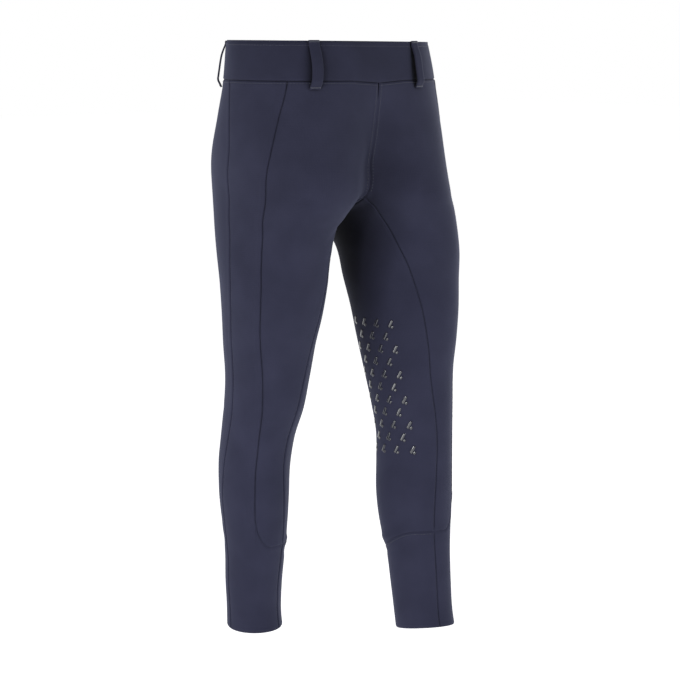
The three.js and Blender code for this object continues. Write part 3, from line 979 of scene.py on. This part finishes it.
def sewn_along(line, surface):
    """Threads of a row of stitches along a line of points."""
    lengths = np.linalg.norm(np.diff(line, axis=0), axis=1)
    along = np.concatenate([[0], np.cumsum(lengths)])
    begin = np.arange(0, along[-1] - STITCH, STITCH + STITCH_GAP)
    places = [
        np.stack([np.interp(begin + shift, along, axis) for axis in line.T], axis=-1)
        for shift in (0, STITCH)
    ]
    (starts, ups), (ends, _) = (surface.lift(place) for place in places)
    return thread_mesh(starts, ends, ups, THREAD_THICKNESS)


def joined(parts):
    points, faces, count = [], [], 0
    for part_points, part_faces in parts:
        points.append(part_points)
        faces.append(part_faces + count)
        count += len(part_points)
    return np.concatenate(points), np.concatenate(faces)


def make_stitching(name, lines, surface, materials):
    points, faces = joined([sewn_along(line, surface) for line in lines])
    return make_object(name, points, faces, materials=materials)


def make_bartacks(name, places, materials):
    """Dense bars of thread: each from one point to another, with its outward direction."""
    parts = []
    for start, end, up in places:
        way = unit(np.cross(end - start, up))
        count = max(int(np.linalg.norm(end - start) / BARTACK_STEP), 3)
        share = np.linspace(0, 1, count)[:, None]
        middles = start + (end - start) * share
        lean = (end - start) / count * 0.3
        reach = way * BARTACK / 2 + lean
        low, high = middles - reach, middles + reach
        parts.append(thread_mesh(low, high, np.broadcast_to(up, low.shape), BARTACK_THREAD))
    points, faces = joined(parts)
    return make_object(name, points, faces, materials=materials)


# The silicone print on the inner knees: slanting bars with a dot beside each, in rows that step by
# half a column. Each row runs from the first to the last angle around the leg; on the right leg it
# starts further round.
GRIP_TOP, GRIP_BOTTOM = 290, 431
GRIP_ROW = 13.2
GRIP_COLUMN = 19.0
GRIP_BAR, GRIP_BAR_WIDTH, GRIP_HEIGHT = 9.0, 3.0, 1.0
GRIP_DOT, GRIP_DOT_PLACE = (3.6, 2.8), (3.2, 2.2)
GRIP_LEAN = 0.5
GRIP_TURN = {"right": 22, "left": 0}
GRIP_EDGES = [
    # down, first, last
    [288, -60, -128],
    [360, -52, -138],
    [433, -42, -134],
]
grip_edge = smooth_table(["down", "first", "last"], GRIP_EDGES)


def grip_places(leg):
    """The marks' places: angles around a leg and levels."""
    places = []
    for row in range(int((GRIP_BOTTOM - GRIP_TOP) / GRIP_ROW) + 1):
        level = GRIP_TOP + row * GRIP_ROW
        radius = float(body(level)["wide"] + body(level)["deep"]) / 2
        edge = grip_edge(level)
        first = edge["first"] - GRIP_TURN[leg.name]
        arc = GRIP_COLUMN / 2 if row % 2 else 0
        while (angle := first - math.degrees(arc / radius)) > edge["last"]:
            places.append((angle, level))
            arc += GRIP_COLUMN
    return np.array(places)


def grip_bar(length, width):
    """A domed bar of silicone along the second axis: rings from its foot up to its crest."""
    rounds, rings = 18, 5
    turn = np.linspace(0, 2 * np.pi, rounds, endpoint=False)
    outline = np.stack([np.cos(turn), np.sin(turn)], axis=-1) * width / 2
    points = []
    for share in np.linspace(0, 1, rings):
        ring = outline * (1 - 0.9 * share**2)
        ring[:, 1] += np.sign(np.sin(turn)) * (length - width) / 2
        height = GRIP_HEIGHT * math.sqrt(1 - (1 - share) ** 2) - 0.25
        points.append(np.column_stack([ring, np.full(rounds, height)]))
    faces = []
    for ring in range(rings - 1):
        for i in range(rounds):
            low, after = ring * rounds + i, ring * rounds + (i + 1) % rounds
            faces.append([low, after, after + rounds, low + rounds])
    faces.append([(rings - 1) * rounds + i for i in range(rounds)])
    return np.concatenate(points), faces


def make_grip(leg, surface, materials):
    """Slanting bars of clear silicone on the cloth, each with a dot beside its lower end."""
    spots = grip_places(leg)
    middles, ups = surface.lift(leg_points(leg, spots[:, 0], spots[:, 1]))
    forms = [(grip_bar(GRIP_BAR, GRIP_BAR_WIDTH), (0, 0)), (grip_bar(*GRIP_DOT), GRIP_DOT_PLACE)]
    points, faces = [], []
    for middle, up in zip(middles, ups):
        downwards = unit(np.array([0, 0, -1.0]) - up * -up[2])
        sideways = np.cross(up, downwards)
        long_way = unit(downwards - GRIP_LEAN * leg.side * sideways)
        axes = np.stack([np.cross(up, long_way), long_way, up])
        for (form, form_faces), (aside, along) in forms:
            faces.extend([i + len(points) for i in face] for face in form_faces)
            points.extend(middle + (form + [aside * leg.side, along, 0]) @ axes)
    return make_object(f"{leg.name}_knee_grip", points, faces, materials=materials)


def linear(hex_colour):
    """An sRGB hex colour as linear red, green, blue and alpha."""
    values = [int(hex_colour[i : i + 2], 16) / 255 for i in (1, 3, 5)]
    return [v / 12.92 if v <= 0.04045 else ((v + 0.055) / 1.055) ** 2.4 for v in values] + [1]


def add(tree, kind, inputs=(), **settings):
    """A node with its settings, and with its inputs set to values or linked to outputs."""
    made = tree.nodes.new(kind)
    for name, value in settings.items():
        setattr(made, name, value)
    for socket, value in dict(inputs).items():
        if isinstance(value, bpy.types.NodeSocket):
            tree.links.new(value, made.inputs[socket])
        else:
            made.inputs[socket].default_value = value
    return made


def new_material(name, **values):
    material = bpy.data.materials.new(name)
    material.use_nodes = True
    shader = material.node_tree.nodes["Principled BSDF"]
    for socket, value in values.items():
        shader.inputs[socket.replace("_", " ")].default_value = value
    return material, material.node_tree, shader


def stretch_knit(name, dark, light, sheen=0.22):
    """Dense polyamide and elastane jersey, dyed navy: matt, with a soft sheen at its turning edges
    from the brushed fibre ends. Painted light lightens its colour a little down the legs, and painted
    shade darkens its colour and dims its sheen where two pieces of cloth nearly touch. Its wales are
    0.4 mm wide, too fine to show, and are drawn wider."""
    material, tree, shader = new_material(name, Roughness=0.82, IOR=1.5)
    shader.inputs["Sheen Roughness"].default_value = 0.45
    shader.inputs["Sheen Tint"].default_value = linear("#a9b0d2")
    shader.inputs["Specular IOR Level"].default_value = 0.12
    rib = 1.1
    wide = 2 * math.pi / 20
    cloth = add(tree, "ShaderNodeUVMap", uv_map="cloth").outputs["UV"]
    place = add(tree, "ShaderNodeTexCoord").outputs["Object"]
    wales = add(
        tree,
        "ShaderNodeTexWave",
        {"Vector": cloth, "Scale": wide / rib, "Distortion": 0.8, "Detail Scale": 2.0},
        bands_direction="X",
    )
    courses = add(
        tree,
        "ShaderNodeTexWave",
        {"Vector": cloth, "Scale": wide / (rib * 0.8), "Distortion": 1.5, "Detail Scale": 2.0},
        bands_direction="Y",
    )
    fibres = add(tree, "ShaderNodeTexNoise", {"Vector": cloth, "Scale": 1.6, "Detail": 3.0})
    clouds = add(tree, "ShaderNodeTexNoise", {"Vector": place, "Scale": 28.0, "Detail": 2.0})
    stitch = add(
        tree,
        "ShaderNodeMath",
        {0: wales.outputs["Fac"], 1: courses.outputs["Fac"]},
        operation="MULTIPLY",
    )
    relief = add(
        tree,
        "ShaderNodeMath",
        {0: stitch.outputs[0], 1: fibres.outputs["Fac"]},
        operation="ADD",
    )
    shade = add(
        tree,
        "ShaderNodeMath",
        {0: relief.outputs[0], 1: 0.25, 2: clouds.outputs["Fac"]},
        operation="MULTIPLY_ADD",
    )
    ramp = add(tree, "ShaderNodeValToRGB", {"Fac": shade.outputs[0]})
    ramp.color_ramp.elements[0].position = 0.5
    ramp.color_ramp.elements[0].color = linear(dark)
    ramp.color_ramp.elements[1].position = 1.0
    ramp.color_ramp.elements[1].color = linear(light)
    bump = add(
        tree,
        "ShaderNodeBump",
        {"Height": relief.outputs[0], "Strength": 0.35, "Distance": 0.00012},
    )
    # Painted light: from 0.1 m to 0.4 m below the waist the colour grows up to a fifth lighter, as
    # though more light fell on the lower legs.
    height = add(tree, "ShaderNodeSeparateXYZ", {"Vector": place}).outputs["Z"]
    paler = add(
        tree,
        "ShaderNodeMapRange",
        {"Value": height, "From Min": -0.1, "From Max": -0.4, "To Min": 1.0, "To Max": 1.2},
    )
    # Painted shade: ambient occlusion within 7 cm darkens the colour to as little as an eighth where
    # pieces of cloth nearly touch, and in hollows.
    near = add(tree, "ShaderNodeAmbientOcclusion", {"Distance": 0.07}, samples=6).outputs["AO"]
    painted_shade = add(
        tree,
        "ShaderNodeMapRange",
        {"Value": near, "From Min": 0.3, "From Max": 0.95, "To Min": 0.12, "To Max": 1.0},
    )
    # The painted light and the painted shade together scale the colour.
    strength = add(
        tree,
        "ShaderNodeMath",
        {0: paler.outputs[0], 1: painted_shade.outputs[0]},
        operation="MULTIPLY",
    )
    colour = add(
        tree,
        "ShaderNodeVectorMath",
        {0: ramp.outputs["Color"], "Scale": strength.outputs[0]},
        operation="SCALE",
    )
    # The painted shade also dims the sheen.
    sheen_dimmed_by_painted_shade = add(
        tree, "ShaderNodeMath", {0: painted_shade.outputs[0], 1: sheen}, operation="MULTIPLY"
    )
    tree.links.new(colour.outputs[0], shader.inputs["Base Color"])
    tree.links.new(sheen_dimmed_by_painted_shade.outputs[0], shader.inputs["Sheen Weight"])
    tree.links.new(bump.outputs["Normal"], shader.inputs["Normal"])
    return material


def sewing_thread():
    """Spun polyester thread, dyed to the cloth: a little lighter and glossier than the jersey."""
    material, tree, shader = new_material("polyester_sewing_thread", Roughness=0.55, IOR=1.55)
    shader.inputs["Sheen Weight"].default_value = 0.2
    place = add(tree, "ShaderNodeTexCoord").outputs["Object"]
    noise = add(tree, "ShaderNodeTexNoise", {"Vector": place, "Scale": 700.0, "Detail": 1.0})
    ramp = add(tree, "ShaderNodeValToRGB", {"Fac": noise.outputs["Fac"]})
    ramp.color_ramp.elements[0].color = linear("#202331")
    ramp.color_ramp.elements[1].color = linear("#2c2f40")
    tree.links.new(ramp.outputs["Color"], shader.inputs["Base Color"])
    return material


def printed_silicone():
    """Clear silicone rubber, screen-printed thick: a smooth wet gloss over the navy cloth."""
    material, tree, shader = new_material("clear_silicone_print", Roughness=0.14, IOR=1.41)
    shader.inputs["Coat Weight"].default_value = 1.0
    shader.inputs["Coat Roughness"].default_value = 0.08
    place = add(tree, "ShaderNodeTexCoord").outputs["Object"]
    noise = add(tree, "ShaderNodeTexNoise", {"Vector": place, "Scale": 220.0, "Detail": 2.0})
    ramp = add(tree, "ShaderNodeValToRGB", {"Fac": noise.outputs["Fac"]})
    ramp.color_ramp.elements[0].color = linear("#1a1c25")
    ramp.color_ramp.elements[1].color = linear("#262832")
    bump = add(
        tree,
        "ShaderNodeBump",
        {"Height": noise.outputs["Fac"], "Strength": 0.25, "Distance": 0.0004},
    )
    tree.links.new(ramp.outputs["Color"], shader.inputs["Base Color"])
    tree.links.new(bump.outputs["Normal"], shader.inputs["Normal"])
    return material


OUTSIDE = stretch_knit("navy_stretch_jersey", "#202131", "#262738")
BAND_CLOTH = stretch_knit("navy_waistband_jersey", "#1e1f2e", "#242536")
INSIDE = stretch_knit("navy_jersey_inside", "#171921", "#1f212c", sheen=0.15)
THREAD = sewing_thread()
SILICONE = printed_silicone()

# Each panel's flat cut in metres: its width, its length and its area
CUTS = {
    "front": (0.15, 0.49, 0.0385),
    "side": (0.07, 0.58, 0.0289),
    "back": (0.18, 0.585, 0.062),
    "inner": (0.122, 0.378, 0.0393),
    "inner_cuff": (0.082, 0.1, 0.0072),
}

panels = {}
for leg in (RIGHT, LEFT):
    for kind, (width, length, area) in CUTS.items():
        panel = make_panel(leg, kind, [OUTSIDE, INSIDE])
        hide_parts(f"{leg.name}_{kind}_panel")
        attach(panel, "root")
        panels[leg.name, kind] = panel

waistband = make_waistband([BAND_CLOTH, INSIDE])
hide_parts("waistband")
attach(waistband, "root")

loops = {}
for name, place_on_band in LOOPS.items():
    loop = make_loop(name, place_on_band, [BAND_CLOTH])
    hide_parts(f"loop_{name}")
    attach(loop, "root")
    loops[name] = loop

cloth = Surface([*panels.values(), waistband])


def shared_seams():
    """Rows of stitches, by the seam or edge that they follow."""
    centre = CURVES["left"]["centre_front"]
    centre_back = CURVES["left"]["centre_back"]
    half = TWIN_NEEDLE / 2
    rows = {"centre_front": [beside(centre, side * half, 1, 6) for side in (-1, 1)]}
    rows["centre_back"] = [beside(centre_back, side * half, 1, 2) for side in (-1, 1)]
    below, top = [], []
    for leg in (RIGHT, LEFT):
        curves = CURVES[leg.name]
        below.append(beside(curves["band"], BELOW_BAND * leg.side))
        degrees = np.linspace(
            *(middle_angle(leg, side, np.array(TOP_STITCH)) for side in (FRONT, BEHIND)), 300
        )
        top.append(leg_points(leg, degrees, TOP_STITCH))
    rows["band_below"], rows["band_top"] = below, top
    return rows


rows = shared_seams()
sewn = {}
for name, lines in rows.items():
    sewn[name] = make_stitching(f"{name}_stitching", lines, cloth, [THREAD])
for leg in (RIGHT, LEFT):
    curves = CURVES[leg.name]
    lines = [beside(curves["cuff"], BESIDE_SEAM * leg.side, 1, 1)]
    sewn[f"{leg.name}_cuff"] = make_stitching(f"{leg.name}_cuff_stitching", lines, cloth, [THREAD])
    sewn[f"{leg.name}_grip"] = make_grip(leg, cloth, [SILICONE])


def loop_bartacks():
    """A bar at each end of each belt loop, across it."""
    places = []
    for place_on_band in LOOPS.values():
        line, across, outward = loop_frame(*place_on_band)
        for place in (2, -3):
            top = line[place] + outward[place] * (LOOP_WALL - 0.1)
            reach = across * (LOOP_WIDTH / 2 - BARTACK_EDGE)
            places.append((top - reach, top + reach, outward[place]))
    return places


sewn["loops"] = make_bartacks("belt_loop_bartacks", loop_bartacks(), [THREAD])
for piece in sewn.values():
    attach(piece, "root")

for (side, kind), panel in panels.items():
    width, length, area = CUTS[kind]


def floor():
    """A plain pale floor below the hems, wide enough to fill the view."""
    half, height = 12.0, -0.68
    corners = [(-half, -half), (half, -half), (half, half), (-half, half)]
    mesh = bpy.data.meshes.new("floor")
    mesh.from_pydata([(x, y, height) for x, y in corners], [], [(0, 1, 2, 3)])
    material, tree, shader = new_material("matt_white_paint", Roughness=1.0)
    shader.inputs["Base Color"].default_value = linear("#f6f6f6")
    shader.inputs["Emission Color"].default_value = [1, 1, 1, 1]
    shader.inputs["Emission Strength"].default_value = 0.65
    mesh.materials.append(material)
    made = bpy.data.objects.new("floor", mesh)
    bpy.context.scene.collection.objects.link(made)
    return made


floor()


def aim(thing, target):
    way = Vector(target) - thing.location
    thing.rotation_euler = way.to_track_quat("-Z", "Y").to_euler()


def soft_light(name, place, size, power):
    lamp = bpy.data.lights.new(name, "AREA")
    lamp.shape = "RECTANGLE"
    lamp.size, lamp.size_y = size
    lamp.energy = power
    made = bpy.data.objects.new(name, lamp)
    made.location = place
    bpy.context.scene.collection.objects.link(made)
    aim(made, (0, 0, -0.3))


# Large soft boxes before the garment and at its sides, and a small lamp for the grip's gloss. The
# world is white behind the garment and lights it more dimly, so that the thighs shade each other.
soft_light("key_light", (1.1, -2.7, -0.2), (1.4, 1.8), 50)
soft_light("grip_glint_light", (-2.4, -1.0, -0.1), (0.3, 0.4), 20)
soft_light("left_side_light", (2.5, 0.7, -0.4), (1.2, 2.2), 20)
soft_light("right_side_light", (-2.6, 0.35, -0.4), (1.2, 2.2), 42)

WORLD_LIGHT = 0.4
world = bpy.data.worlds.new("studio")
world.use_nodes = True
seen = add(world.node_tree, "ShaderNodeLightPath").outputs["Is Camera Ray"]
strength = add(
    world.node_tree, "ShaderNodeMapRange", {"Value": seen, "To Min": WORLD_LIGHT, "To Max": 1.0}
)
backdrop = world.node_tree.nodes["Background"]
backdrop.inputs["Color"].default_value = [1, 1, 1, 1]
world.node_tree.links.new(strength.outputs[0], backdrop.inputs["Strength"])
bpy.context.scene.world = world
bpy.context.scene.view_settings.view_transform = "Standard"

camera_data = bpy.data.cameras.new("camera")
camera_data.sensor_width = 36
camera_data.lens = 132.6
camera = bpy.data.objects.new("camera", camera_data)
camera.location = (-1.6713, -1.9917, 0.033)
bpy.context.scene.collection.objects.link(camera)
aim(camera, (0.01, -0.0084, -0.311))
bpy.context.scene.camera = camera
